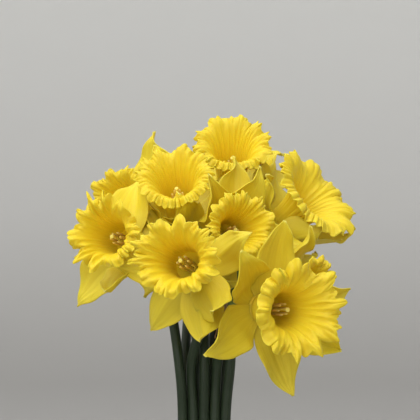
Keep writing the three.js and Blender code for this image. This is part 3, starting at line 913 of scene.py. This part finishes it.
def stalk(n):
    """The stalk of bloom n. Two thirds of its rows are on its curved end."""
    path, far = stalk_line(FLOWERS[n])
    length = far[-1]
    plain = np.linspace(0, length - CURVED_END, PLAIN_ROWS)
    curved = np.linspace(length - CURVED_END + 1, length, STALK_ROWS + 1 - PLAIN_ROWS)
    rows = np.concatenate([plain, curved])
    place, tangent = along_line(path, far, rows)
    normal = carried_normals(tangent)
    binormal = np.cross(tangent, normal)
    back = np.array([p[0] for p in STALK_PROFILE], float)
    radius = np.interp(length - rows, back, [p[1] for p in STALK_PROFILE])
    seed = 1.9 * n

    def surface(s, t):
        row = np.rint(s * STALK_ROWS).astype(int)
        angle = 2 * np.pi * t
        ridge = 1 + 0.035 * np.cos(2 * angle + seed) + 0.012 * np.cos(10 * angle)
        r = radius[row] * ridge
        skin = place[row] + (r * np.cos(angle))[:, None] * normal[row]
        return skin + (r * np.sin(angle))[:, None] * binormal[row]

    piece = laid_grid(f"stalk_{n + 1}", STALK_ROWS, STALK_COLUMNS, surface, closed=True)
    for point in piece.data.attributes["lie"].data:
        row = int(round(point.vector[1] * STALK_ROWS))
        point.vector = (point.vector[0], (length - rows[row]) / COLOURED_LENGTH, 0)
    bpy.ops.object.mode_set(mode="EDIT")
    bpy.ops.mesh.select_all(action="DESELECT")
    bpy.ops.mesh.select_non_manifold()
    bpy.ops.mesh.edge_face_add()
    bpy.ops.object.mode_set(mode="OBJECT")
    face_outwards(piece)
    return piece


stalks = [stalk(n) for n in range(len(FLOWERS))]
print("stalk faces", sum(len(p.data.polygons) for p in stalks))

# %% [markdown]
# ## Sheaths
# A brown papery sheath, the spathe, wraps the back of each neck. It is a thin sheet bent round the
# stalk's own line, wider at its open end and a little crumpled.

# %% Sheaths
SHEATH = {"radius": 4, "sheet": 0.45, "start": 17, "reach": 24, "arc": 170, "opening": 1.2}
SHEATH_ROWS = 30
SHEATH_COLUMNS = 24


def sheath(n):
    """The sheath of bloom n, from behind its ovary back along its neck."""
    flower = FLOWERS[n]
    path, far = stalk_line(flower)
    axis = bloom_frame(flower)[1]

    def surface(s, t):
        left = SHEATH["start"] + SHEATH["reach"] * (1 - s)
        place, tangent = along_line(path, far, far[-1] - left)
        back = np.array([0, 0, 1]) - 0.6 * axis
        back = back - tangent * (tangent @ back)[:, None]
        back = back / np.linalg.norm(back, axis=-1, keepdims=True)
        sideways = np.cross(tangent, back)
        angle = np.radians((t - 0.5) * SHEATH["arc"] * (1 - 0.35 * s))
        crumple = 0.16 * np.sin(9 * s + 3 * n) * np.sin(14 * t + n) + 0.1 * np.sin(31 * t)
        radius = SHEATH["radius"] + SHEATH["opening"] * s**2 + crumple
        return place + (radius * np.cos(angle))[:, None] * back + (radius * np.sin(angle))[:, None] * sideways

    piece = laid_grid(f"sheath_{n + 1}", SHEATH_ROWS, SHEATH_COLUMNS, surface)
    thicken(piece, SHEATH["sheet"])
    return piece


sheaths = [sheath(n) for n in range(len(FLOWERS))]
print("sheath faces", sum(len(p.data.polygons) for p in sheaths))

# %% [markdown]
# ## Leaves
# The strap leaves rise beside the stems and arch over outwards. A leaf is channelled along its middle,
# ribbed lengthwise and blunt at its tip. It is one sheet of even thickness, laid on its arch.

# %% Leaves
LEAF = {
    "count": 12, "length": 190, "half_width": 6.4, "sheet": 1.3, "circle": 37, "circle_depth": 0.8,
    "channel": 0.22, "rib": 0.12, "wave": 0.5, "tip_from": 0.72,
}
LEAF_ROWS = 80
LEAF_COLUMNS = 16
LEAF_STEPS = 24


def leaf(n):
    """A strap leaf with a length, a lean, an arch and a twist of its own."""
    bearing = 2 * math.pi * ((n + 0.5) / LEAF["count"]) + 0.12 * math.sin(5 * n)
    length = LEAF["length"] + 26 * math.sin(2.4 * n) + SOIL_HOLE
    start_lean = 3 + 3 * math.sin(1.7 * n)
    end_lean = 88 + 20 * math.sin(3.1 * n)
    twist = 0.5 * math.sin(1.3 * n)
    outward = np.array([math.cos(bearing), math.sin(bearing), 0])
    across_leaf = np.array([-outward[1], outward[0], 0])
    up = np.array([0, 0, 1.0])
    root = outward * np.array([LEAF["circle"], LEAF["circle"] * LEAF["circle_depth"], 0]) + up * ROOT_HEIGHT

    def lean_at(u):
        return np.radians(start_lean + (end_lean - start_lean) * smooth(u, 0.12, 1.1) ** 1.25)

    def surface(s, across):
        t = 2 * across - 1
        point = np.repeat(root[None], len(s), 0)
        for m in range(LEAF_STEPS):
            lean = lean_at((m + 0.5) / LEAF_STEPS * s)
            step = length * s / LEAF_STEPS
            point = point + (np.sin(lean) * step)[:, None] * outward + (np.cos(lean) * step)[:, None] * up
        lean = lean_at(s)
        past = np.maximum((s - LEAF["tip_from"]) / (1 - LEAF["tip_from"]), 0)
        tip = np.sqrt(np.maximum(1 - past ** 2, 0.012))
        half = LEAF["half_width"] * tip * (0.8 + 0.2 * np.sin(np.pi * s))
        face = -np.cos(lean)[:, None] * outward + np.sin(lean)[:, None] * up
        roll = (twist * smooth(s, 0.25, 1))[:, None]
        side = np.cos(roll) * across_leaf + np.sin(roll) * face
        rise = np.cos(roll) * face - np.sin(roll) * across_leaf
        lift = LEAF["channel"] * half * t * t + LEAF["rib"] * np.cos(7 * np.pi * t) * tip
        lift = lift + LEAF["wave"] * np.abs(t) ** 3 * np.sin(11 * s + n) * smooth(s, 0.3, 0.6)
        return point + (t * half)[:, None] * side + lift[:, None] * rise

    piece = laid_grid(f"strap_leaf_{n + 1}", LEAF_ROWS, LEAF_COLUMNS, surface)
    thicken(piece, LEAF["sheet"])
    return piece


leaves = [leaf(n) for n in range(LEAF["count"])]
print("leaf faces", sum(len(p.data.polygons) for p in leaves))

# %% [markdown]
# ## The pot
# A thrown clay flowerpot: a flaring body, a straight rim band that hangs over it by a small step, a
# thick lip and three drainage holes in its floor. Its wall's profile, with its edges eased, is spun round
# the middle, and the holes are drilled.

# %% Pot
POT = {"height": 130, "foot": 49, "shoulder": 65, "rim": 73, "band": 27, "wall": 6, "floor": 8}
BAND_FOOT = POT["height"] - POT["band"]
DRAIN = {"radius": 5, "circle": 26, "count": 3, "drill": 40, "sides": 32}
POT_STEPS = 144
SHARP_EDGE = 35


def pot_outer(z):
    """The body's outer radius at a height."""
    return POT["foot"] + (POT["shoulder"] - POT["foot"]) * z / BAND_FOOT


def pot_profile():
    """The wall's (radius, height) points in metres: up its outside, over its lip and down its inside."""
    rim, top, wall, floor = POT["rim"], POT["height"], POT["wall"], POT["floor"]
    outside = [(0, 0), (POT["foot"] - 1.5, 0), (POT["foot"], 2)]
    outside += [(pot_outer(z), z) for z in range(12, BAND_FOOT, 10)]
    outside += [(POT["shoulder"], BAND_FOOT), (rim - 3, BAND_FOOT), (rim - 1.2, BAND_FOOT + 2)]
    outside += [(rim, BAND_FOOT + 8), (rim, top - 3)]
    lip = [(rim - 0.8, top - 0.9), (rim - 2.4, top), (rim - wall + 1.5, top), (rim - wall, top - 1.6)]
    inner = [pot_outer(z) - wall for z in (BAND_FOOT, 60, floor)]
    inside = [(inner[0] + 1.5, BAND_FOOT), (inner[1], 60), (inner[2], floor + 2), (inner[2] - 2, floor)]
    return [(radius * MM, height * MM) for radius, height in [*outside, *lip, *inside, (0, floor)]]


def drilled(piece, radius, x, y):
    """A round hole down through a piece's floor, in millimetres."""
    bpy.ops.object.select_all(action="DESELECT")
    depth = DRAIN["drill"] * MM
    place = (x * MM, y * MM, 0)
    bpy.ops.mesh.primitive_cylinder_add(
        vertices=DRAIN["sides"], radius=radius * MM, depth=depth, location=place
    )
    drill = bpy.context.object
    bpy.context.view_layer.objects.active = piece
    cut = piece.modifiers.new("hole", "BOOLEAN")
    cut.object = drill
    cut.operation = "DIFFERENCE"
    bpy.ops.object.modifier_apply(modifier="hole")
    bpy.data.objects.remove(drill)


flowerpot = spun("flowerpot", pot_profile(), POT_STEPS)
for n in range(DRAIN["count"]):
    angle = 2 * math.pi * n / DRAIN["count"]
    drilled(flowerpot, DRAIN["radius"], DRAIN["circle"] * math.cos(angle), DRAIN["circle"] * math.sin(angle))
pick(flowerpot)
bpy.ops.object.shade_smooth_by_angle(angle=math.radians(SHARP_EDGE))
print("pot faces", len(flowerpot.data.polygons))

# %% [markdown]
# ## The soil
# Potting soil is dark crumbs and fibres. The bed is a plain plug that fills the pot, with its top in fine
# rings that noise raises into grains and lumps.

# %% Soil
SOIL = {"mound": 2.5, "bump": 1.4, "grain": 0.9, "lump": 1.2, "rings": 70, "steps": 220}
GRAIN_SIZE = 3.1
LUMP_SIZE = 9


def soil_height(x, y):
    """The height of the soil's surface in millimetres."""
    outer = POT["shoulder"] - POT["wall"] - 2.5
    mound = SOIL["mound"] * math.cos(math.pi / 2 * min(math.hypot(x, y) / outer, 1))
    return SOIL_TOP + mound + SOIL["bump"] * math.sin(0.31 * x + 1) * math.sin(0.27 * y + 2)


def soil_bed():
    """The plug, with its top raised into grains and lumps."""
    edge = POT["shoulder"] - POT["wall"] + 0.7
    low = POT["foot"] - POT["wall"]
    foot = POT["floor"] + 0.3
    rings = SOIL["rings"]
    shape = [(0, foot), (low, foot), (edge - 1, BAND_FOOT), (edge, SOIL_TOP - 1)]
    shape += [(edge * (1 - step / rings), SOIL_TOP) for step in range(1, rings + 1)]
    bed = spun("soil_bed", [(radius * MM, height * MM) for radius, height in shape], SOIL["steps"])
    for point in bed.data.vertices:
        if point.co.z < (SOIL_TOP - 0.5) * MM:
            continue
        x, y = point.co.x / MM, point.co.y / MM
        grain = noise.fractal(Vector((x / GRAIN_SIZE, y / GRAIN_SIZE, 0.5)), 1.0, 2.2, 4) * SOIL["grain"]
        lump = noise.noise(Vector((x / LUMP_SIZE, y / LUMP_SIZE, 4))) * SOIL["lump"]
        fade = min((edge - math.hypot(x, y)) / 3, 1)
        point.co.z = (soil_height(x, y) + (grain + lump) * fade) * MM
    return bed


soil = soil_bed()
print("soil faces", len(soil.data.polygons))

# %% [markdown]
# ## Loose crumbs
# A few hundred crumbs lie loose on the bed. One is modelled, as a coarse ball, and it is copied with a
# place, a size and a shape drawn for each.

# %% Loose crumbs
CRUMBS = 420


def soil_crumbs():
    """All the crumbs as one piece. The ball they are copied from is taken away."""
    bpy.ops.object.select_all(action="DESELECT")
    bpy.ops.mesh.primitive_ico_sphere_add(subdivisions=1, radius=1)
    ball = bpy.context.object
    corners = np.array([v.co[:] for v in ball.data.vertices])
    faces = [tuple(p.vertices) for p in ball.data.polygons]
    bpy.data.objects.remove(ball)
    draw = np.random.default_rng(7)
    outer = POT["shoulder"] - POT["wall"] - 1
    points = []
    polygons = []
    for n in range(CRUMBS):
        far = outer * math.sqrt(draw.random())
        angle = 2 * math.pi * draw.random()
        x, y = far * math.cos(angle), far * math.sin(angle)
        size = draw.uniform(0.5, 1.5) * (1.5 if draw.random() > 0.93 else 1)
        shape = corners * size * draw.uniform(0.6, 1.2, 3) * draw.uniform(0.85, 1.15, (len(corners), 1))
        polygons += [tuple(c + len(points) for c in face) for face in faces]
        points += [tuple(c) for c in (shape + (x, y, soil_height(x, y) + 0.3 * size)) * MM]
    mesh = bpy.data.meshes.new("crumbs")
    mesh.from_pydata(points, [], polygons)
    crumbs = bpy.data.objects.new("soil_crumbs", mesh)
    bpy.context.collection.objects.link(crumbs)
    return crumbs


crumbs = soil_crumbs()
print("crumb faces", len(crumbs.data.polygons))

# %% [markdown]
# ## Living tissue
# Petals, stems and leaves are water-filled tissue with an index of refraction near 1.4. Light sinks into
# it, and where it is thin comes out on the far side, so edges glow. Its pattern follows its own lie:
# noise that is stretched along a petal or a stem makes veins or ribs.

# %% Living tissue
TISSUE_IOR = 1.4
LIGHT_DEPTH = 0.002
RELIEF_DEPTH = 0.0006


def lie_of(tree):
    """The tissue's own attribute, and its parts: across, along, and the mark of the part."""
    lie = add_node(tree, "ShaderNodeAttribute", attribute_name="lie").outputs["Vector"]
    return lie, *add_node(tree, "ShaderNodeSeparateXYZ", {"Vector": lie}).outputs


def stretched_noise(tree, vector, scale, detail=3.0):
    """Noise on a vector that is first stretched by scale."""
    stretched = add_node(tree, "ShaderNodeMapping", {"Vector": vector, "Scale": scale})
    return add_node(tree, NOISE, {"Vector": stretched, "Scale": 1.0, "Detail": detail})


def tissue(made, colour, relief, roughness, glow, reach=(1.0, 0.8, 0.3), strength=0.35):
    """Finishes a living tissue: colour, relief, roughness, and how much light sinks in and how far."""
    material, tree, shader = made
    raised = {"Height": relief, "Strength": strength, "Distance": RELIEF_DEPTH}
    bump = add_node(tree, "ShaderNodeBump", raised)
    feed(tree, shader, {"Base Color": colour, "Normal": bump, "Roughness": roughness, "IOR": TISSUE_IOR})
    feed(tree, shader, {"Subsurface Weight": glow, "Subsurface Radius": reach})
    feed(tree, shader, {"Subsurface Scale": LIGHT_DEPTH})
    return material


print("light sinks", LIGHT_DEPTH / MM, "mm into tissue")

# %% [markdown]
# ## Petal tissue
# A daffodil's tepal is lemon yellow with a soft sheen, paler along its edges, and greener at its root and
# on the tube. With 34 veins across its 26 mm they are 0.8 mm apart, which is a little coarser than real
# ones, so that they show.

# %% Lemon tepal
PETAL_LENGTHWISE = [(0, "#cab428"), (0.15, "#d8c026"), (0.6, "#ddc627"), (0.97, "#e0cc34"), (1, "#e4d868")]
TUBE_LENGTHWISE = [(0, "#e9cf3c"), (0.22, "#e6c436"), (0.36, "#d8c132"), (0.6, "#b9b03a"), (0.9, "#98a23c")]
lemon = new_material("lemon petal tissue")
tree = lemon[1]
lie, across, along, mark = lie_of(tree)
veins = stretched_noise(tree, lie, (34, 2.2, 1))
off_rib = add_node(tree, MATHS, {0: across, 1: 0.5}, operation="SUBTRACT")
edge = add_node(tree, MATHS, {0: off_rib}, operation="ABSOLUTE")
body = add_node(tree, RAMP, {"Fac": along}, PETAL_LENGTHWISE)
lines = add_node(tree, RAMP, {"Fac": veins}, [(0.35, "#e9dd9c"), (0.62, "#ffffff")])
veined = add_node(tree, MIX, {"Factor": 0.35, "A": body, "B": lines}, **MULTIPLIED)
margin = add_node(tree, RAMP, {"Fac": edge}, [(0.43, "#000000"), (0.5, "#303030")])
edged = add_node(tree, MIX, {"Factor": margin, "A": veined, "B": "#e8d558"}, **COLOURS)
toned = add_node(tree, MIX, {"Factor": mark, "A": edged, "B": "#cdb936"}, **COLOURS)
tube = add_node(tree, RAMP, {"Fac": along}, TUBE_LENGTHWISE)
is_tube = add_node(tree, MATHS, {0: mark, 1: 0.75}, operation="GREATER_THAN")
petal = add_node(tree, MIX, {"Factor": is_tube, "A": toned, "B": tube}, **COLOURS)
lemon_tepal = tissue(lemon, petal, veins, roughness=0.6, glow=0.5)
print("finish", lemon_tepal.name, "nodes", len(tree.nodes))

# %% [markdown]
# ## Trumpet tissue
# The trumpet is a deeper, golden yellow. Down in its throat light only arrives after many bounces, which
# turns it amber, so its own colour is set lighter there than at the rim. Its 120 veins run from throat to
# rim, where they are about 1.2 mm apart.

# %% Golden trumpet
TRUMPET_LENGTHWISE = [(0, "#f1d93e"), (0.3, "#f0d22e"), (0.6, "#e9cd27"), (0.85, "#dcc223"), (1, "#dec72d")]
gold = new_material("golden trumpet tissue")
tree = gold[1]
lie, _, along, _ = lie_of(tree)
veins = stretched_noise(tree, lie, (120, 2.5, 1))
body = add_node(tree, RAMP, {"Fac": along}, TRUMPET_LENGTHWISE)
lines = add_node(tree, RAMP, {"Fac": veins}, [(0.35, "#efdf9a"), (0.65, "#ffffff")])
veined = add_node(tree, MIX, {"Factor": 0.3, "A": body, "B": lines}, **MULTIPLIED)
golden_trumpet = tissue(gold, veined, veins, roughness=0.6, glow=0.6)
print("finish", golden_trumpet.name, "nodes", len(tree.nodes))

# %% [markdown]
# ## Pollen
# Pollen-covered anthers are tan and dull, and the threads and the style are a paler yellow. One finish
# does both, because the mark tells a stamen from the style, and a stamen's colour follows its length.

# %% Stamen finish
anther = new_material("pollen and thread")
tree = anther[1]
lie, _, along, mark = lie_of(tree)
grains = stretched_noise(tree, lie, (30, 60, 1))
stamen = add_node(tree, RAMP, {"Fac": along}, [(0.2, "#ead87a"), (0.32, "#dfbb5c"), (0.9, "#e9cf78")])
either = add_node(tree, MIX, {"Factor": mark, "A": "#e4d46a", "B": stamen}, **COLOURS)
pollen = tissue(anther, either, grains, roughness=0.7, glow=0.4)
print("finish", pollen.name, "nodes", len(tree.nodes))

# %% [markdown]
# ## Green skins
# Stems and leaves are dark green skin with fine lengthwise ribs, under a thin wax that greys it in
# patches. A stalk is a fresher green at its ovary and darker further back, partly its own dark green and
# partly painted shade for the shade under the blooms, and a leaf pales at its foot and browns at its tip.
# The two finishes are one recipe with other numbers. The stem's ribs are 0.7 mm apart, and the leaf's
# 0.3 mm, in patches of wax some 15 to 30 mm wide.

# %% Stalk and leaf finishes
GREEN_REACH = (0.3, 0.6, 0.1)
STEM_SKIN = {
    "name": "waxy green stem skin",
    "ribs": (26, 1.2, 1),
    "rib_shades": [(0.3, "#8d9c84"), (0.7, "#dfe8d6")],
    # The stalk's dark stops are its own dark green deepened by painted shade, the shade under the blooms.
    "lengthwise": [(0, "#8f9a3c"), (0.1, "#6f8a3e"), (0.17, "#5d7440"), (0.45, "#303f28"), (1, "#283622")],
    "patches": {"Scale": 60.0, "Detail": 4.0},
    "wax": [(0.45, "#000000"), (0.75, "#3a3a3a")],
    "wax_colour": "#7d8d78",
}
LEAF_SKIN = {
    "name": "waxy strap leaf",
    "ribs": (40, 1.5, 1),
    "rib_shades": [(0.3, "#93a089"), (0.7, "#e8efe0")],
    "lengthwise": [(0, "#8fa06a"), (0.2, "#56754c"), (0.85, "#4b6a47"), (0.97, "#77874a"), (1, "#a08a4a")],
    "patches": {"Scale": 35.0, "Detail": 5.0},
    "wax": [(0.4, "#000000"), (0.8, "#4a4a4a")],
    "wax_colour": "#8ba08c",
}


def green_tissue(skin, roughness, glow):
    """Green skin: shaded along its length, ribbed, and greyed by wax."""
    made = new_material(skin["name"])
    tree = made[1]
    lie, _, along, _ = lie_of(tree)
    ribs = stretched_noise(tree, lie, skin["ribs"])
    place = add_node(tree, "ShaderNodeTexCoord").outputs["Object"]
    patches = add_node(tree, NOISE, {"Vector": place, **skin["patches"]})
    green = add_node(tree, RAMP, {"Fac": along}, skin["lengthwise"])
    shades = add_node(tree, RAMP, {"Fac": ribs}, skin["rib_shades"])
    ribbed = add_node(tree, MIX, {"Factor": 0.5, "A": green, "B": shades}, **MULTIPLIED)
    wax = add_node(tree, RAMP, {"Fac": patches}, skin["wax"])
    waxed = add_node(tree, MIX, {"Factor": wax, "A": ribbed, "B": skin["wax_colour"]}, **COLOURS)
    return tissue(made, waxed, ribs, roughness, glow, GREEN_REACH, strength=0.5)


green_skin = green_tissue(STEM_SKIN, roughness=0.48, glow=0.05)
green_leaf = green_tissue(LEAF_SKIN, roughness=0.45, glow=0.06)
print("finishes", green_skin.name, "and", green_leaf.name)

# %% [markdown]
# ## Papery sheath
# The sheath is dead membrane, brown and dry, with long veins. Little light passes through it.

# %% Sheath finish
PAPER_REACH = (0.6, 0.4, 0.2)
membrane = new_material("dry papery membrane")
tree = membrane[1]
lie = lie_of(tree)[0]
veins = stretched_noise(tree, lie, (22, 1.5, 1), 5.0)
brown = add_node(tree, RAMP, {"Fac": veins}, [(0.3, "#7c5a34"), (0.5, "#a9865a"), (0.7, "#cbb086")])
papery = tissue(membrane, brown, veins, roughness=0.75, glow=0.1, reach=PAPER_REACH, strength=0.8)
print("finish", papery.name, "nodes", len(tree.nodes))

# %% [markdown]
# ## Terracotta
# The pot is low-fired earthenware, thrown and left bare: an even orange brown, matt and slightly rough,
# with faint turning lines, darker flecks and a chalky bloom where water has dried. A noise scale of 700
# to the metre makes flecks of 1 to 2 mm, and one squeezed to 420 in height draws the turning lines.

# %% Terracotta
terracotta, tree, shader = new_material("bare terracotta")
place = add_node(tree, "ShaderNodeTexCoord").outputs["Object"]
cloud = stretched_noise(tree, place, (22, 22, 22), 6.0)
fleck = stretched_noise(tree, place, (700, 700, 700), 2.0)
turning = stretched_noise(tree, place, (4, 4, 420), 3.0)
base = add_node(tree, RAMP, {"Fac": cloud}, [(0.3, "#a3552f"), (0.55, "#b96a40"), (0.75, "#c4784e")])
flecks = add_node(tree, RAMP, {"Fac": fleck}, [(0.3, "#8a4a2c"), (0.45, "#ffffff")])
flecked = add_node(tree, MIX, {"Factor": 0.35, "A": base, "B": flecks}, **MULTIPLIED)
chalk = stretched_noise(tree, place, (9, 9, 14), 8.0)
chalked = add_node(tree, RAMP, {"Fac": chalk}, [(0.52, "#000000"), (0.8, "#6a6a6a")])
chalky = add_node(tree, MIX, {"Factor": chalked, "A": flecked, "B": "#d9c3b0"}, **COLOURS)
relief = add_node(tree, MATHS, {0: turning, 1: fleck}, operation="ADD")
bump = add_node(tree, "ShaderNodeBump", {"Height": relief, "Strength": 0.3, "Distance": 0.0006})
feed(tree, shader, {"Base Color": chalky, "Normal": bump, "Roughness": 0.88})
print("finish", terracotta.name, "nodes", len(tree.nodes))

# %% [markdown]
# ## Soil
# Soil is nearly black and quite dull, with lighter fibres. Fine grit of about 2 mm shades it, over
# patches of about 11 mm.

# %% Potting soil
potting_soil, tree, shader = new_material("crumbly potting soil")
place = add_node(tree, "ShaderNodeTexCoord").outputs["Object"]
grit = stretched_noise(tree, place, (500, 500, 500), 6.0)
patch = stretched_noise(tree, place, (90, 90, 90), 4.0)
dark = add_node(tree, RAMP, {"Fac": grit}, [(0.3, "#1d140e"), (0.55, "#3b2a1e"), (0.72, "#5a4431")])
patched = add_node(tree, MIX, {"Factor": patch, "A": dark, "B": "#2a1d15"}, **COLOURS)
bump = add_node(tree, "ShaderNodeBump", {"Height": grit, "Strength": 0.8, "Distance": 0.001})
feed(tree, shader, {"Base Color": patched, "Normal": bump, "Roughness": 0.95})
print("finish", potting_soil.name, "nodes", len(tree.nodes))

# %% [markdown]
# ## Every piece in its place
# Nothing on the plant moves on its own, so every fine piece rides on the one body that the pot stands for.

# %% Place the pieces
for n in range(len(FLOWERS)):
    placed(perianths[n], f"perianth_{n + 1}", lemon_tepal)
    placed(all_stamens[n], f"perianth_{n + 1}", pollen)
    placed(trumpets[n], f"trumpet_{n + 1}", golden_trumpet)
    placed(stalks[n], f"stem_{n + 1}", green_skin)
    placed(sheaths[n], f"spathe_{n + 1}", papery)
for n in range(LEAF["count"]):
    placed(leaves[n], f"leaf_{n + 1}", green_leaf)
placed(flowerpot, "pot", terracotta)
placed(soil, "soil", potting_soil)
placed(crumbs, "soil", potting_soil)
print("pieces placed", 5 * len(FLOWERS) + LEAF["count"] + 3)
